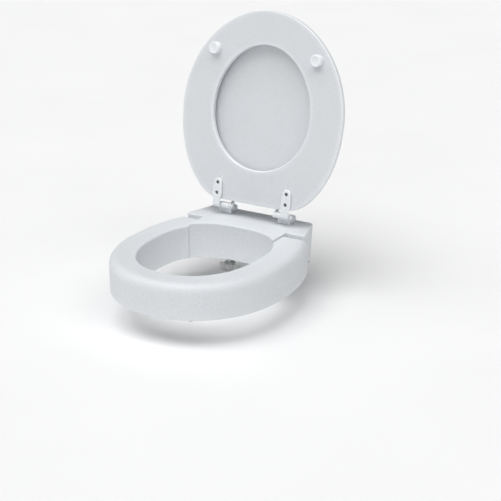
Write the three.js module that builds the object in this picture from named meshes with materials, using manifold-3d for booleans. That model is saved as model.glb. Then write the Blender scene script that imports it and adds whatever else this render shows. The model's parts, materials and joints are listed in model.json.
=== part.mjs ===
// Hinged raised toilet seat: a 3 in riser in two hollow halves, with a seat ring and lid hinged on top.
//
// Frame: millimetres, +Z up. The origin is midway between the two mounting bolts, on the plane where
// the riser rests on the bowl rim. -Y points to the front of the bowl, +X to the right seen from there.
// The riser is down; the seat and the lid stand raised. Both are drawn closed, in a frame that has its
// origin on their hinge axis, and that frame is turned up by SEAT.raised degrees.
import * as THREE from "three";
import { mergeVertices } from "three/addons/utils/BufferGeometryUtils.js";
import Module from "manifold-3d";

const wasm = await Module();
wasm.setup();

// ---- Driving dimensions ----
const GAP = 0.3; // between pieces that touch
const WALL = 4; // of the hollow riser halves
const BOLT_X = 70; // half the bolt spacing of a standard bowl, 5.5 in
const RISER = { height: 76, footEdge: 3, lip: 3, seam: 1 }; // the rear block's top and lip
const FRONT = { height: 72, outerEdge: 20, armEdge: 16.5, lip: 4 }; // the front ring is a little lower
// Ovals: widest at y; they reach `front` towards -Y and `back` towards +Y, with squareness `power`.
const RING = { y: -201, halfWidth: 177, front: 196, back: 237, frontPower: 2.12, backPower: 2.3 };
const OPENING = { y: -196, halfWidth: 120, front: 152, back: 122, frontPower: 2.24, backPower: 2.7 };
const BLOCK = { back: 22, backHalf: 119, front: -54, frontHalf: 143.5, noseHalf: 99, edge: 2.5, corner: 7 };
const BLOCK_DRAFT = 4; // how much narrower the rear block is at its foot, on each outer side
const RISER_PIN = { radius: 4, inset: 11.5, from: 88, to: 114 }; // inset from arm's end and block's top
const PAD = { length: 44, width: 12, height: 4, proud: 2 };
const BOLT = { radius: 4, headRadius: 8, headHeight: 4.5, below: 58, sleeve: 11 };
const NUT = { top: -41, height: 12, radius: 9, span: 25 };
const WASHER = { radius: 12, height: 2.5 };
const AXIS = { y: -21, above: 20 }; // of the seat hinge, above the riser's top
const POST = { half: 14, front: -14, back: 12, height: 12, rib: 5 };
const EAR = { from: 56, to: 73.6, radius: 7, root: 5.2 };
const CAP = { from: 59.5, to: 83, nose: 3.2, peak: 4.2, tail: 1.5 };
const KNUCKLE = { radius: 6.8, seatFrom: 74, seatTo: 89, lidFrom: 50.5, lidTo: 55.6 };
const SEAT_PIN = { radius: 3, headRadius: 4.4, head: 2.8, from: 49.6, to: 89.9 };
const SEAT = { under: -8.5, top: 5.5, edge: 4, raised: 102, heel: 12 };
const LID = { under: 9, top: 18.5, edge: 4.5, inset: 12, heel: 14 };
const SEAT_OVAL = { y: -200, halfWidth: 187, front: 206, back: 214.5, frontPower: 1.95, backPower: 2.2 };
const HOLE_OVAL = { y: -209.6, halfWidth: 112.75, front: 127.2, back: 127.2, frontPower: 2, backPower: 2 };
const HOLE_TAPER = 0.06; // the hole is this much narrower at its front
const STRAP = { hip: 11.2, tip: 9.2, thick: 5, lidThick: 4, lidSunk: 2.3, bevel: 0.9 };
const STRAP_SCREWS = [25, 46.5]; // distances forward of the hinge axis
const SCREW = { radius: 1.8, headRadius: 3.4, head: 2, recess: 1.4, grip: 7 };
const SEAT_BUMPER = { x: 118.4, y: -319, radius: 12.5, height: 13 };
const LID_BUMPER = { x: 96, y: -318, radius: 8, height: 3.2 };

const SEAT_STRAP_X = (KNUCKLE.seatFrom + KNUCKLE.seatTo) / 2;
const LID_STRAP_X = (KNUCKLE.lidFrom + KNUCKLE.lidTo) / 2;
const LID_NECK = (KNUCKLE.lidTo - KNUCKLE.lidFrom) / 2;
const RISER_PIN_Y = BLOCK.front - RISER.seam - RISER_PIN.inset;
const RISER_PIN_Z = RISER.height - RISER_PIN.inset;
const AXIS_Z = RISER.height + AXIS.above;

// ---- Materials ----
const plastic = (color, roughness) => new THREE.MeshStandardMaterial({ color, roughness, metalness: 0 });
const MATERIALS = {
  riser: plastic(0xe4e9ec, 0.5),
  seat: plastic(0xd9dde1, 0.45),
  hinge: plastic(0xeef2f4, 0.3),
  rubber: plastic(0xb9bdc0, 0.8),
  bolt: plastic(0xe8ebea, 0.35),
  steel: new THREE.MeshStandardMaterial({ color: 0x5f6266, roughness: 0.35, metalness: 0.9 }),
};

// ---- Solids ----
function solid(geometry) {
  const bare = geometry.clone();
  bare.deleteAttribute("normal");
  bare.deleteAttribute("uv");
  const merged = mergeVertices(bare, 1e-4);
  return new wasm.Manifold(
    new wasm.Mesh({
      numProp: 3,
      vertProperties: merged.attributes.position.array,
      triVerts: new Uint32Array(merged.index.array),
    }),
  );
}

function surface(manifold) {
  const { vertProperties, triVerts } = manifold.getMesh();
  const geometry = new THREE.BufferGeometry();
  geometry.setAttribute("position", new THREE.BufferAttribute(vertProperties, 3));
  geometry.setIndex(new THREE.BufferAttribute(triVerts, 1));
  geometry.computeVertexNormals();
  return geometry;
}

function box(low, high) {
  const size = high.map((v, i) => v - low[i]);
  const middle = high.map((v, i) => (v + low[i]) / 2);
  return solid(new THREE.BoxGeometry(...size).translate(...middle));
}

// A cylinder from a low to a high coordinate along one axis, centred on the other two coordinates.
function rod(along, radius, low, high, centre, sides = 16) {
  const geometry = new THREE.CylinderGeometry(radius, radius, high - low, sides);
  const middle = (low + high) / 2;
  if (along === "x") geometry.rotateZ(Math.PI / 2).translate(middle, centre[0], centre[1]);
  else geometry.rotateX(Math.PI / 2).translate(centre[0], centre[1], middle);
  return solid(geometry);
}

// A turned piece: profile of [radius, height] from the axis round to the axis, spun about Z at [x, y].
function turned(profile, centre, sides = 16) {
  const points = profile.map(([r, z]) => new THREE.Vector2(r, z));
  const geometry = new THREE.LatheGeometry(points, sides);
  return solid(geometry.rotateX(Math.PI / 2).translate(centre[0], centre[1], 0));
}

// A plate: outline in X and Y, extruded from low to high.
function plateGeometry(shape, low, high, bevel = 0) {
  const geometry = new THREE.ExtrudeGeometry(shape, {
    depth: high - low - 2 * bevel,
    curveSegments: 5,
    bevelEnabled: bevel > 0,
    bevelThickness: bevel,
    bevelSize: bevel,
    bevelOffset: -bevel,
    bevelSegments: 1,
  });
  return geometry.translate(0, 0, low + bevel);
}

const plate = (...outline) => solid(plateGeometry(...outline));

// A bar: outline given as [y, z] points, extruded along X.
function bar(points, low, high) {
  const shape = new THREE.Shape(points.map(([y, z]) => new THREE.Vector2(y, z)));
  const geometry = new THREE.ExtrudeGeometry(shape, { depth: high - low, bevelEnabled: false });
  const turn = new THREE.Matrix4().makeBasis(
    new THREE.Vector3(0, 1, 0),
    new THREE.Vector3(0, 0, 1),
    new THREE.Vector3(1, 0, 0),
  );
  return solid(geometry.applyMatrix4(turn).translate(low, 0, 0));
}

function arc(centre, radius, fromDegrees, toDegrees, steps) {
  return Array.from({ length: steps + 1 }, (_, i) => {
    const t = THREE.MathUtils.degToRad(fromDegrees + ((toDegrees - fromDegrees) * i) / steps);
    return [centre[0] + radius * Math.cos(t), centre[1] + radius * Math.sin(t)];
  });
}

// ---- Ovals and lofts ----
function ovalPoints(oval, inset, count) {
  return Array.from({ length: count }, (_, i) => {
    const t = (2 * Math.PI * i) / count;
    const back = Math.sin(t) > 0;
    const power = 2 / (back ? oval.backPower : oval.frontPower);
    const reach = (back ? oval.back : oval.front) - inset;
    const x = Math.sign(Math.cos(t)) * (oval.halfWidth - inset) * Math.abs(Math.cos(t)) ** power;
    const y = Math.sign(Math.sin(t)) * reach * Math.abs(Math.sin(t)) ** power;
    return [x, oval.y + y];
  });
}

// The seat's outline ends in a straight heel: the oval is cut off there through two soft corners.
function heeled(points, heel, softness = 7) {
  return points.map(([x, y]) => [x, -heel - softness * Math.log1p(Math.exp((-heel - y) / softness))]);
}

// Stations of [inset, z] up the side of a slab with a rounded foot and a rounded top edge.
function slabSide(low, high, foot, edge, steps) {
  const quarter = Array.from({ length: steps + 1 }, (_, i) => (Math.PI / 2) * (i / steps));
  return [
    ...quarter.map((t) => [foot * (1 - Math.sin(t)), low + foot * (1 - Math.cos(t))]),
    ...quarter.map((t) => [edge * (1 - Math.cos(t)), high - edge * (1 - Math.sin(t))]),
  ];
}

// Joins level loops of equal length, lowest first, into a closed solid with fans at both ends.
function loft(loops) {
  const count = loops[0].length;
  const last = (loops.length - 1) * count;
  const middle = (loop) => loop.reduce((sum, p) => sum.map((v, k) => v + p[k] / count), [0, 0, 0]);
  const points = [...loops.flat(), middle(loops[0]), middle(loops[loops.length - 1])];
  const index = [];
  for (let i = 0; i < count; i++) {
    const next = (i + 1) % count;
    for (let k = 0; k < last; k += count) {
      index.push(k + i, k + next, k + count + next);
      index.push(k + i, k + count + next, k + count + i);
    }
    index.push(last + count, next, i);
    index.push(last + count + 1, last + i, last + next);
  }
  const geometry = new THREE.BufferGeometry();
  geometry.setAttribute("position", new THREE.Float32BufferAttribute(points.flat(), 3));
  geometry.setIndex(index);
  return solid(geometry);
}

const level = (points, z) => points.map(([x, y]) => [x, y, z]);

function slab(outline, side) {
  return loft(side.map(([inset, z]) => level(outline(inset), z)));
}

// ---- Riser ----
// The bowl opening as a cutter: straight down the wall, flared at the top by the rounded lip.
function openingCutter(grow, count, top, lip) {
  const flare = [0, 45, 90].map((d) => THREE.MathUtils.degToRad(d));
  const side = [[-grow, -1], [-grow, top - lip]];
  const lipSide = flare.slice(1).map((t) => [
    -grow - lip * (1 - Math.cos(t)),
    top - lip * (1 - Math.sin(t)),
  ]);
  const above = [-grow - lip, top + 1];
  const stations = [...side, ...(grow ? [[-grow, top + 1]] : [...lipSide, above])];
  return slab((inset) => ovalPoints(OPENING, inset, count), stations);
}

// Seen from the side, the ring's arms end in a wall with a round top corner.
function armSide(inset) {
  const end = BLOCK.front - RISER.seam;
  const centre = [end - FRONT.armEdge, FRONT.height - FRONT.armEdge];
  const far = RING.y - RING.front - 10;
  return [
    [far, -10],
    [end - inset, -10],
    ...arc(centre, FRONT.armEdge - inset, 0, 90, 6),
    [centre[0], FRONT.height + 1],
    [far, FRONT.height + 1],
  ];
}

// The front ring's outer form, or its cavity when inset by the wall.
function ringForm(inset) {
  const count = inset ? 32 : 64;
  const steps = inset ? 2 : 4;
  const foot = inset ? 0.5 : RISER.footEdge;
  const side = slabSide(inset, FRONT.height - inset, foot, FRONT.outerEdge - inset, steps);
  const width = RING.halfWidth + 10;
  const nose = BLOCK.noseHalf + RISER.seam + inset;
  return slab((more) => ovalPoints(RING, inset + more, count), side)
    .intersect(bar(armSide(inset), -width, width))
    .subtract(openingCutter(inset, inset ? 28 : 56, FRONT.height, FRONT.lip))
    .subtract(box([-nose, OPENING.y, -5], [nose, BLOCK.back, RISER.height + 5]));
}

function riserPinHoles(clearance) {
  const centre = [RISER_PIN_Y, RISER_PIN_Z];
  const radius = RISER_PIN.radius + clearance;
  return rod("x", radius, -RISER_PIN.to, -RISER_PIN.from, centre).add(
    rod("x", radius, RISER_PIN.from, RISER_PIN.to, centre),
  );
}

// Grip pads sit in shallow pockets under the riser: [x, y, turn in degrees].
const PAD_PLACES = {
  front_left: [-62, -366, 13],
  front_right: [62, -366, -13],
  side_left: [-149, -196, 90],
  side_right: [149, -196, 90],
  block_left: [-112, -16, 105],
  block_right: [112, -16, 75],
};

function padForm(grow, low, high) {
  const shape = new THREE.Shape();
  const half = PAD.length / 2 - PAD.width / 2;
  shape.absarc(half, 0, PAD.width / 2 + grow, -Math.PI / 2, Math.PI / 2);
  shape.absarc(-half, 0, PAD.width / 2 + grow, Math.PI / 2, (3 * Math.PI) / 2);
  return new THREE.ExtrudeGeometry(shape, { depth: high - low, curveSegments: 6, bevelEnabled: false })
    .translate(0, 0, low);
}

function padPocket([x, y, turn]) {
  const pocket = padForm(GAP, -1, PAD.height - PAD.proud + GAP);
  return solid(pocket.rotateZ(THREE.MathUtils.degToRad(turn)).translate(x, y, 0));
}

function riserRing() {
  const vent = rod("z", 5, -1, WALL + 1, [0, RING.y - RING.front + 30]);
  const places = Object.entries(PAD_PLACES).filter(([name]) => !name.startsWith("block"));
  const pockets = places.map(([, place]) => padPocket(place));
  const ring = ringForm(0).subtract(ringForm(WALL)).subtract(vent).subtract(riserPinHoles(GAP));
  return pockets.reduce((form, pocket) => form.subtract(pocket), ring);
}

function blockShape(inset) {
  const back = BLOCK.back - inset;
  const front = BLOCK.front + inset;
  const nose = BLOCK.noseHalf - inset;
  const reach = OPENING.y + OPENING.back - 80;
  const corner = BLOCK.corner;
  const lean = (BLOCK.frontHalf - BLOCK.backHalf) / (BLOCK.back - BLOCK.front);
  const half = (y) => BLOCK.backHalf + (BLOCK.back - y) * lean - inset;
  const shape = new THREE.Shape();
  shape.moveTo(nose, reach);
  shape.lineTo(nose, front);
  shape.lineTo(half(front) - corner, front);
  shape.quadraticCurveTo(half(front), front, half(front + corner), front + corner);
  shape.lineTo(half(back - corner), back - corner);
  shape.quadraticCurveTo(half(back), back, half(back) - corner, back);
  shape.lineTo(corner - half(back), back);
  shape.quadraticCurveTo(-half(back), back, -half(back - corner), back - corner);
  shape.lineTo(-half(front + corner), front + corner);
  shape.quadraticCurveTo(-half(front), front, corner - half(front), front);
  shape.lineTo(-nose, front);
  shape.lineTo(-nose, reach);
  return shape;
}

// The block leans in towards its foot on its back and sides; its front and its nose stay upright.
function blockForm(inset, bevel) {
  const geometry = plateGeometry(blockShape(inset), inset, RISER.height - inset, bevel);
  const position = geometry.attributes.position;
  for (let i = 0; i < position.count; i++) {
    const lean = BLOCK_DRAFT * (1 - position.getZ(i) / RISER.height);
    const [x, y] = [position.getX(i), position.getY(i)];
    if (Math.abs(x) > BLOCK.noseHalf + 1) position.setX(i, x - Math.sign(x) * lean);
    if (y > 0) position.setY(i, y - lean);
  }
  return solid(geometry);
}

function riserRearBlock() {
  const { height, lip } = RISER;
  const outer = blockForm(0, BLOCK.edge).subtract(openingCutter(0, 56, height, lip));
  let cavity = blockForm(WALL, 0).subtract(openingCutter(WALL, 28, height, lip));
  for (const x of [-BOLT_X, BOLT_X])
    cavity = cavity.subtract(rod("z", BOLT.sleeve, 0, RISER.height, [x, 0]));
  let block = outer.subtract(cavity).subtract(riserPinHoles(GAP));
  for (const x of [-BOLT_X, BOLT_X])
    block = block.subtract(rod("z", BOLT.radius + 0.8, -1, RISER.height + 1, [x, 0]));
  block = block.subtract(rod("z", 5, -1, WALL + 1, [0, -20]));
  return block.subtract(padPocket(PAD_PLACES.block_left)).subtract(padPocket(PAD_PLACES.block_right));
}

// A plain pin with chamfered ends, lying along X.
function pinForm(radius, from, to, centre) {
  const chamfer = 0.8;
  return rod("x", radius, from + chamfer, to - chamfer, centre).add(
    rod("x", radius - chamfer / 2, from, to, centre),
  );
}

// ---- Mounting hardware ----
function mountingBolt() {
  const seat = RISER.height + POST.height - BOLT.headHeight - 0.5;
  const profile = [
    [0, -BOLT.below],
    [BOLT.radius - 1, -BOLT.below],
    [BOLT.radius, 1 - BOLT.below],
    [BOLT.radius, seat],
    [BOLT.headRadius, seat],
    [BOLT.headRadius, seat + BOLT.headHeight - 1],
    [BOLT.headRadius - 1, seat + BOLT.headHeight],
    [0, seat + BOLT.headHeight],
  ];
  return turned(profile, [BOLT_X, 0]);
}

function boltWasher() {
  const high = NUT.top + GAP + WASHER.height;
  const disc = rod("z", WASHER.radius, NUT.top + GAP, high, [BOLT_X, 0]);
  return disc.subtract(rod("z", BOLT.radius + GAP, NUT.top - 1, high + 1, [BOLT_X, 0]));
}

function wingNut() {
  const low = NUT.top - NUT.height;
  const wing = new THREE.Shape();
  wing.moveTo(-NUT.span, 1);
  wing.quadraticCurveTo(-NUT.span - 1, -NUT.height - 4, -NUT.span + 5, -NUT.height - 4);
  wing.quadraticCurveTo(-NUT.radius, -NUT.height + 1, 0, -NUT.height + 1);
  wing.quadraticCurveTo(NUT.radius, -NUT.height + 1, NUT.span - 5, -NUT.height - 4);
  wing.quadraticCurveTo(NUT.span + 1, -NUT.height - 4, NUT.span, 1);
  wing.quadraticCurveTo(NUT.radius + 3, 0, 0, 0);
  wing.quadraticCurveTo(-NUT.radius - 3, 0, -NUT.span, 1);
  const wings = new THREE.ExtrudeGeometry(wing, { depth: 4, curveSegments: 4, bevelEnabled: false });
  wings.rotateX(Math.PI / 2).translate(BOLT_X, 2, NUT.top - 1);
  const hub = rod("z", NUT.radius, low, NUT.top, [BOLT_X, 0]);
  return hub
    .add(solid(wings))
    .subtract(rod("z", BOLT.radius + GAP, low - 5, NUT.top + 5, [BOLT_X, 0]));
}

// ---- Hinge posts, on the riser's top ----
function hingePost() {
  const low = RISER.height + GAP;
  const high = RISER.height + POST.height;
  const base = box([BOLT_X - POST.half, POST.front, low], [BOLT_X + POST.half, POST.back, high]);
  const ribs = [BOLT_X - POST.half, BOLT_X + POST.half - POST.rib].map((x) =>
    box([x, POST.front - 1.5, low], [x + POST.rib, POST.front + 1, high - 1]),
  );
  const ear = bar(
    [
      ...arc([AXIS.y, AXIS_Z], EAR.radius, -145, -370, 12),
      [POST.front + EAR.root, high + 4],
      [POST.front + EAR.root, low + 1],
      [POST.front, low + 1],
      [POST.front, high + 0.5],
    ],
    EAR.from,
    EAR.to,
  );
  const recessFloor = high - BOLT.headHeight - 1;
  return base
    .add(ribs[0])
    .add(ribs[1])
    .add(ear)
    .subtract(rod("z", BOLT.headRadius + 0.5, recessFloor, high + 1, [BOLT_X, 0], 20))
    .subtract(rod("z", BOLT.radius + 0.5, low - 1, high, [BOLT_X, 0]))
    .subtract(rod("x", SEAT_PIN.radius + GAP, EAR.from - 1, EAR.to + 1, [AXIS.y, AXIS_Z]));
}

// A wedge-shaped cap that covers the bolt head, behind the ear.
function boltCap() {
  const low = RISER.height + POST.height + GAP;
  const front = POST.front + EAR.root + 2 * GAP;
  const side = [
    [front, low],
    [POST.back - GAP, low],
    [POST.back - GAP, low + CAP.tail],
    [front + 3, low + CAP.peak],
    [front, low + CAP.nose],
  ];
  return bar(side, CAP.from, CAP.to);
}

function seatPin(headAtInnerEnd) {
  const [from, to] = [SEAT_PIN.from, SEAT_PIN.to];
  const centre = [AXIS.y, AXIS_Z];
  const head = headAtInnerEnd ? [from - SEAT_PIN.head, from] : [to, to + SEAT_PIN.head];
  return rod("x", SEAT_PIN.radius, from, to, centre).add(
    rod("x", SEAT_PIN.headRadius, head[0], head[1], centre),
  );
}

// ---- Seat and lid, in the frame of their hinge axis, drawn closed ----
function seatOutline(inset, count) {
  return heeled(ovalPoints(SEAT_OVAL, inset, count), SEAT.heel + inset);
}

function lidOutline(inset, count) {
  return heeled(ovalPoints(SEAT_OVAL, LID.inset + inset, count), LID.heel + inset);
}

function holeCutter(count) {
  const low = SEAT.under;
  const high = SEAT.top;
  const outline = (grow) =>
    ovalPoints(HOLE_OVAL, -grow, count).map(([x, y]) => [
      x * (1 + (HOLE_TAPER * (y - HOLE_OVAL.y)) / HOLE_OVAL.front),
      y,
    ]);
  const turns = [0, 45, 90].map((d) => THREE.MathUtils.degToRad(d));
  const round = SEAT.edge;
  const stations = [
    [round, low - 1],
    ...turns.map((t) => [round * (1 - Math.sin(t)), low + round * (1 - Math.cos(t))]),
    ...turns.map((t) => [round * (1 - Math.cos(t)), high - round * (1 - Math.sin(t))]),
    [round, high + 1],
  ];
  return loft(stations.map(([grow, z]) => level(outline(grow), z)));
}

function screwHoles(x, low, high) {
  const [first, second] = STRAP_SCREWS.map((u) => rod("z", SCREW.radius + GAP, low, high, [x, -u], 10));
  return first.add(second);
}

function seatRing() {
  const side = slabSide(SEAT.under, SEAT.top, SEAT.edge, SEAT.edge + 1, 2);
  let ring = slab((inset) => seatOutline(inset, 64), side).subtract(holeCutter(48));
  for (const sign of [-1, 1]) {
    ring = ring.subtract(screwHoles(sign * SEAT_STRAP_X, SEAT.under - 1, SEAT.under + SCREW.grip + 1));
    ring = ring.subtract(bumperPlug(SEAT_BUMPER, sign, SEAT.under - 1, SEAT.under + 8));
  }
  return ring;
}

function bumperPlug(bumper, sign, low, high, clearance = GAP) {
  return rod("z", 4 + clearance, low, high, [sign * bumper.x, bumper.y], 12);
}

// A round buffer with a dished face, a plug that fills a hole in the panel above it and a soft rim.
function bumper({ x, y, radius, height }, panel) {
  const top = panel - GAP;
  const low = panel - height;
  const profile = [
    [0, low + 1.2],
    [radius * 0.3, low + 1.2],
    [radius * 0.55, low],
    [radius * 0.85, low],
    [radius * 0.96, low + 1.2],
    [radius, Math.min(top - 0.6, low + height * 0.5)],
    [radius, top],
    [4, top],
    [4, panel + 6],
    [0, panel + 6],
  ];
  return turned(profile, [x, y]);
}

function lidPanel() {
  const side = slabSide(LID.under, LID.top, 3, LID.edge, 2);
  let lid = slab((inset) => lidOutline(inset, 56), side);
  const pocketTop = LID.under + STRAP.lidSunk + GAP;
  for (const sign of [-1, 1]) {
    const x = sign * LID_STRAP_X;
    const pocket = plate(strapShape(x, LID_NECK, GAP), LID.under - 1, pocketTop);
    lid = lid.subtract(pocket).subtract(screwHoles(x, LID.under, LID.under + SCREW.grip + 1));
    lid = lid.subtract(bumperPlug(LID_BUMPER, sign, LID.under - 1, LID.under + 7));
  }
  return lid;
}

// A tongue: a narrow neck at the hinge axis, a wide hip at the first screw and a round tip.
function strapShape(x, neckHalf, grow = 0) {
  const neck = neckHalf + grow;
  const hip = STRAP.hip + grow;
  const tip = STRAP.tip + grow;
  const [first, second] = STRAP_SCREWS;
  const shape = new THREE.Shape();
  shape.moveTo(x - neck, -4);
  shape.lineTo(x - neck, -8);
  shape.bezierCurveTo(x - neck, -14, x - hip, -15, x - hip, -first);
  shape.lineTo(x - tip, -second);
  shape.absarc(x, -second, tip, Math.PI, 2 * Math.PI, false);
  shape.lineTo(x + hip, -first);
  shape.bezierCurveTo(x + hip, -15, x + neck, -14, x + neck, -8);
  shape.lineTo(x + neck, -4);
  return shape;
}

function strapRecesses(x, low, high) {
  const holes = screwHoles(x, low - 1, high + 1);
  const [first, second] = STRAP_SCREWS.map((u) =>
    rod("z", SCREW.headRadius + GAP, low - 1, low + SCREW.recess + SCREW.head, [x, -u], 10),
  );
  return holes.add(first).add(second);
}

// A hinge strap under its panel: knuckle round the pin, neck, and a tongue with two sunk screws.
function strap(from, to, low, thick, neckSide) {
  const x = (from + to) / 2;
  const tongue = plate(strapShape(x, (to - from) / 2), low, low + thick, STRAP.bevel);
  return rod("x", KNUCKLE.radius, from, to, [0, 0])
    .add(bar(neckSide, from, to))
    .add(tongue)
    .subtract(rod("x", SEAT_PIN.radius + GAP, from - 1, to + 1, [0, 0]))
    .subtract(strapRecesses(x, low, low + thick));
}

function seatStrap() {
  const high = SEAT.under - GAP;
  const low = high - STRAP.thick;
  const side = [
    [6.5, -2],
    [4.5, -8],
    [0, low],
    [-14, low],
    [-14, high],
    [-9, high],
    [-6.5, -2],
    [-3, 3],
    [3, 3],
  ];
  return strap(KNUCKLE.seatFrom, KNUCKLE.seatTo, low, STRAP.thick, side);
}

function lidStrap() {
  const low = LID.under + STRAP.lidSunk - STRAP.lidThick;
  const high = low + STRAP.lidThick;
  const side = [
    [6.5, 2],
    [4.5, 8],
    [1, high],
    [-12, high],
    [-12, low],
    [-9, low],
    [-6.5, 2],
    [-3, -3],
    [3, -3],
  ];
  return strap(KNUCKLE.lidFrom, KNUCKLE.lidTo, low, STRAP.lidThick, side.reverse());
}

// A sunk cross-head screw, driven upwards from `low`, the underside of its strap.
function screwForm(x, u, low, reach) {
  const head = low + SCREW.recess;
  const profile = [
    [0, head],
    [SCREW.headRadius - 0.6, head],
    [SCREW.headRadius, head + 0.6],
    [SCREW.headRadius, head + SCREW.head - 0.2],
    [SCREW.radius, head + SCREW.head - 0.2],
    [SCREW.radius, reach - 1.5],
    [0, reach],
  ];
  const slotDepth = 0.9;
  const slot = (a, b) => box([x - a, -u - b, head - 1], [x + a, -u + b, head + slotDepth]);
  return turned(profile, [x, -u], 10).subtract(slot(2, 0.4)).subtract(slot(0.4, 2));
}

// ---- Assembly ----
const assembly = new THREE.Group();
const raised = new THREE.Group();
raised.position.set(0, AXIS.y, AXIS_Z);
raised.rotation.x = -THREE.MathUtils.degToRad(SEAT.raised);
assembly.add(raised);

function put(group, name, manifold, material, mirrored = false) {
  const mesh = new THREE.Mesh(surface(manifold), material);
  mesh.name = name;
  if (mirrored) mesh.scale.x = -1;
  group.add(mesh);
}

function pair(group, name, manifold, material) {
  put(group, name + "_left", manifold, material, true);
  put(group, name + "_right", manifold, material);
}

put(assembly, "riser_ring", riserRing(), MATERIALS.riser);
put(assembly, "riser_rear_block", riserRearBlock(), MATERIALS.riser);
pair(
  assembly,
  "riser_hinge_pin",
  pinForm(RISER_PIN.radius, RISER_PIN.from + 1, RISER_PIN.to - 1, [RISER_PIN_Y, RISER_PIN_Z]),
  MATERIALS.bolt,
);
for (const [name, [x, y, turn]] of Object.entries(PAD_PLACES)) {
  const mesh = new THREE.Mesh(padForm(0, -PAD.proud, PAD.height - PAD.proud), MATERIALS.rubber);
  mesh.name = "grip_pad_" + name;
  mesh.position.set(x, y, 0);
  mesh.rotation.z = THREE.MathUtils.degToRad(turn);
  assembly.add(mesh);
}
pair(assembly, "mounting_bolt", mountingBolt(), MATERIALS.bolt);
pair(assembly, "bolt_washer", boltWasher(), MATERIALS.rubber);
pair(assembly, "wing_nut", wingNut(), MATERIALS.bolt);
pair(assembly, "hinge_post", hingePost(), MATERIALS.hinge);
pair(assembly, "bolt_cap", boltCap(), MATERIALS.hinge);
put(assembly, "seat_hinge_pin_left", seatPin(true), MATERIALS.hinge, true);
put(assembly, "seat_hinge_pin_right", seatPin(false), MATERIALS.hinge);

put(raised, "seat_ring", seatRing(), MATERIALS.seat);
pair(raised, "seat_strap", seatStrap(), MATERIALS.hinge);
pair(raised, "seat_bumper", bumper(SEAT_BUMPER, SEAT.under), MATERIALS.hinge);
put(raised, "lid_panel", lidPanel(), MATERIALS.seat);
pair(raised, "lid_strap", lidStrap(), MATERIALS.hinge);
pair(raised, "lid_bumper", bumper(LID_BUMPER, LID.under), MATERIALS.hinge);
STRAP_SCREWS.forEach((u, i) => {
  const which = ["lower", "upper"][i];
  const seatLow = SEAT.under - GAP - STRAP.thick;
  const seatScrew = screwForm(SEAT_STRAP_X, u, seatLow, SEAT.under + SCREW.grip);
  pair(raised, "seat_screw_" + which, seatScrew, MATERIALS.steel);
  const lidLow = LID.under + STRAP.lidSunk - STRAP.lidThick;
  const lidScrew = screwForm(LID_STRAP_X, u, lidLow, LID.under + SCREW.grip);
  pair(raised, "lid_screw_" + which, lidScrew, MATERIALS.steel);
});

export default assembly;
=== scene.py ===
"""A hinged raised toilet seat: fine surfaces, finishes, floor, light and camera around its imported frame.

Sizes are millimetres in the frame of the CAD part unless a comment says otherwise: +Z up, -Y to the
front, the origin midway between the mounting bolts on the underside of the riser. Each piece is drawn
as a closed mesh, scaled to metres and put in the place of the CAD node that it stands for. The seat,
the lid and what is fixed to them are drawn closed, about their hinge axis, and turned up from there.
"""
import json
import math
from typing import NamedTuple

import bmesh
import bpy
from mathutils import Matrix, Vector


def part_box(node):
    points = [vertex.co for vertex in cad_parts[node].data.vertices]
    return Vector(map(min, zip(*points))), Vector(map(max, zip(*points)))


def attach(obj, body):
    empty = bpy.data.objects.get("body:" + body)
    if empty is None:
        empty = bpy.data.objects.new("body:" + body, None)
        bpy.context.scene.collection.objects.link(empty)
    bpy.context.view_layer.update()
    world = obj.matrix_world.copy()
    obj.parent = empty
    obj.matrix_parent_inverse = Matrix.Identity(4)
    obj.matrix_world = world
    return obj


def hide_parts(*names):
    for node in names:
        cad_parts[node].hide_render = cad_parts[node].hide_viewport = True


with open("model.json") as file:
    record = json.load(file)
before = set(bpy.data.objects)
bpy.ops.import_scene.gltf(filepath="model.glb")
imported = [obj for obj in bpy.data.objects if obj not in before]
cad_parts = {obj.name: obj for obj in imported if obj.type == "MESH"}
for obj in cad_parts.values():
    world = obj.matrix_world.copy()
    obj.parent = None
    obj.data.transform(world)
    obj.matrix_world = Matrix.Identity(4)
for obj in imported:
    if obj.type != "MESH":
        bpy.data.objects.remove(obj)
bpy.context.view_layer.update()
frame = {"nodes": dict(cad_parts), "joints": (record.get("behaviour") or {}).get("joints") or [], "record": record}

RECORD = frame["record"]
BODY_OF = {node: body for body, nodes in RECORD["behaviour"]["bodies"].items() for node in nodes}
SLOT_OF = {part["node"]: part["material_slot"] for part in RECORD["subparts"]}
JOINTS = {joint["name"]: joint for joint in frame["joints"]}
MM = 0.001  # metres


def limits(node):
    """Lowest and highest corner of a CAD node, in millimetres."""
    low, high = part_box(node)
    return low / MM, high / MM


# ---- Places and sizes read from the frame ----
RING_LOW, RING_HIGH = limits("riser_ring")
BLOCK_HIGH = limits("riser_rear_block")[1]
POST_LOW, POST_HIGH = limits("hinge_post_right")
CAP_LOW, CAP_HIGH = limits("bolt_cap_right")
BOLT_LOW, BOLT_HIGH = limits("mounting_bolt_right")
WASHER_LOW, WASHER_HIGH = limits("bolt_washer_right")
NUT_LOW, NUT_HIGH = limits("wing_nut_right")
HEIGHT = BLOCK_HIGH.z
BOLT_X = (BOLT_LOW.x + BOLT_HIGH.x) / 2
HINGE = Vector(JOINTS["seat_hinge"]["pos_m"]) / MM
RAISED = math.radians(JOINTS["seat_hinge"]["range_deg"][1])
RISER_HINGE = Vector(JOINTS["riser_hinge"]["pos_m"]) / MM
SEAT_FRAME = Matrix.Translation(HINGE) @ Matrix.Rotation(-RAISED, 4, "X")

GAP = 0.3  # between pieces that touch


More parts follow.
